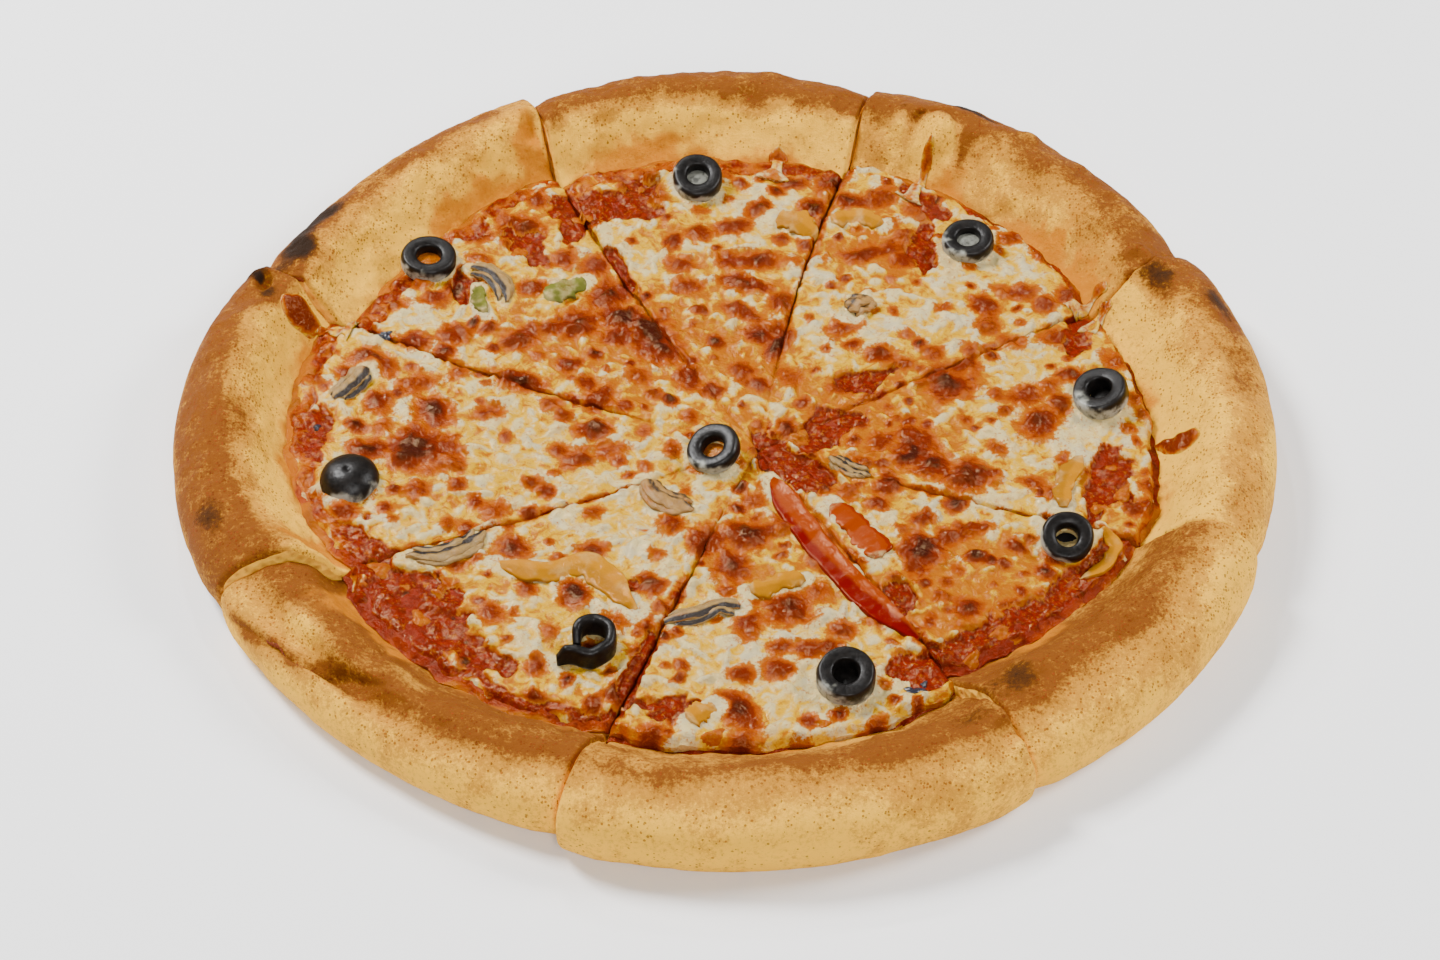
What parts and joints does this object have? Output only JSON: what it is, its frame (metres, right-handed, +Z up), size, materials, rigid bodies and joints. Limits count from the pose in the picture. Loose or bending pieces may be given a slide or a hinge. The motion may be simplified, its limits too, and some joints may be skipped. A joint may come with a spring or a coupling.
{
  "type": "vegetarian pizza",
  "caption": "Whole vegetarian pizza cut into slices, with a puffy golden crust, melted cheese, tomato sauce, black olives, mushrooms and bell peppers.",
  "frame": {"origin": "middle of the round on the surface that it lies on", "axes": "+Z up out of the toppings, +Y away from the viewer of the picture, +X to the viewer's right"},
  "size_m": [0.3045, 0.3022, 0.0273],
  "materials": {
    "baked_dough": "baked golden dough, dry and dusted with fine semolina, charred in spots",
    "tomato_sauce": "wet cooked tomato",
    "melted_cheese": "melted, oily, with browned blisters",
    "black_olive": "oily black skin",
    "cooked_mushroom": "moist, dark gills",
    "red_pepper": "oily roasted pepper",
    "yellow_pepper": "oily roasted pepper",
    "green_pepper": "oily roasted pepper",
    "orange_pepper": "oily roasted pepper"
  },
  "bodies": {
    "root": {"dough_far_right": "baked_dough", "dough_far": "baked_dough", "dough_far_left": "baked_dough", "dough_left": "baked_dough", "dough_near_left": "baked_dough", "dough_near": "baked_dough", "dough_near_right": "baked_dough", "dough_right": "baked_dough", "sauce_far_right": "tomato_sauce", "sauce_far": "tomato_sauce", "sauce_far_left": "tomato_sauce", "sauce_left": "tomato_sauce", "sauce_near_left": "tomato_sauce", "sauce_near": "tomato_sauce", "sauce_near_right": "tomato_sauce", "sauce_right": "tomato_sauce", "cheese_far_right": "melted_cheese", "cheese_far": "melted_cheese", "cheese_far_left": "melted_cheese", "cheese_left": "melted_cheese", "cheese_near_left": "melted_cheese", "cheese_near": "melted_cheese", "cheese_near_right": "melted_cheese", "cheese_right": "melted_cheese", "olive_far": "black_olive", "olive_far_left": "black_olive", "olive_far_right": "black_olive", "olive_middle": "black_olive", "olive_right": "black_olive", "olive_near_right": "black_olive", "olive_near": "black_olive", "olive_end_left": "black_olive", "olive_curl_near_left": "black_olive", "mushroom_far_left": "cooked_mushroom", "mushroom_left": "cooked_mushroom", "mushroom_near_left": "cooked_mushroom", "mushroom_middle": "cooked_mushroom", "mushroom_near": "cooked_mushroom", "mushroom_right": "cooked_mushroom", "mushroom_far_right": "cooked_mushroom", "pepper_red_long": "red_pepper", "pepper_yellow_far": "yellow_pepper", "pepper_orange_far": "yellow_pepper", "pepper_yellow_near_left": "yellow_pepper", "pepper_yellow_near": "yellow_pepper", "pepper_yellow_near_edge": "yellow_pepper", "pepper_yellow_right": "yellow_pepper", "pepper_yellow_near_right": "yellow_pepper", "pepper_green_far_left": "green_pepper", "pepper_green_left": "green_pepper", "pepper_orange_near_right": "orange_pepper", "blister_crust_left": "tomato_sauce", "drip_crust_right": "tomato_sauce"}
  },
  "joints": []
}
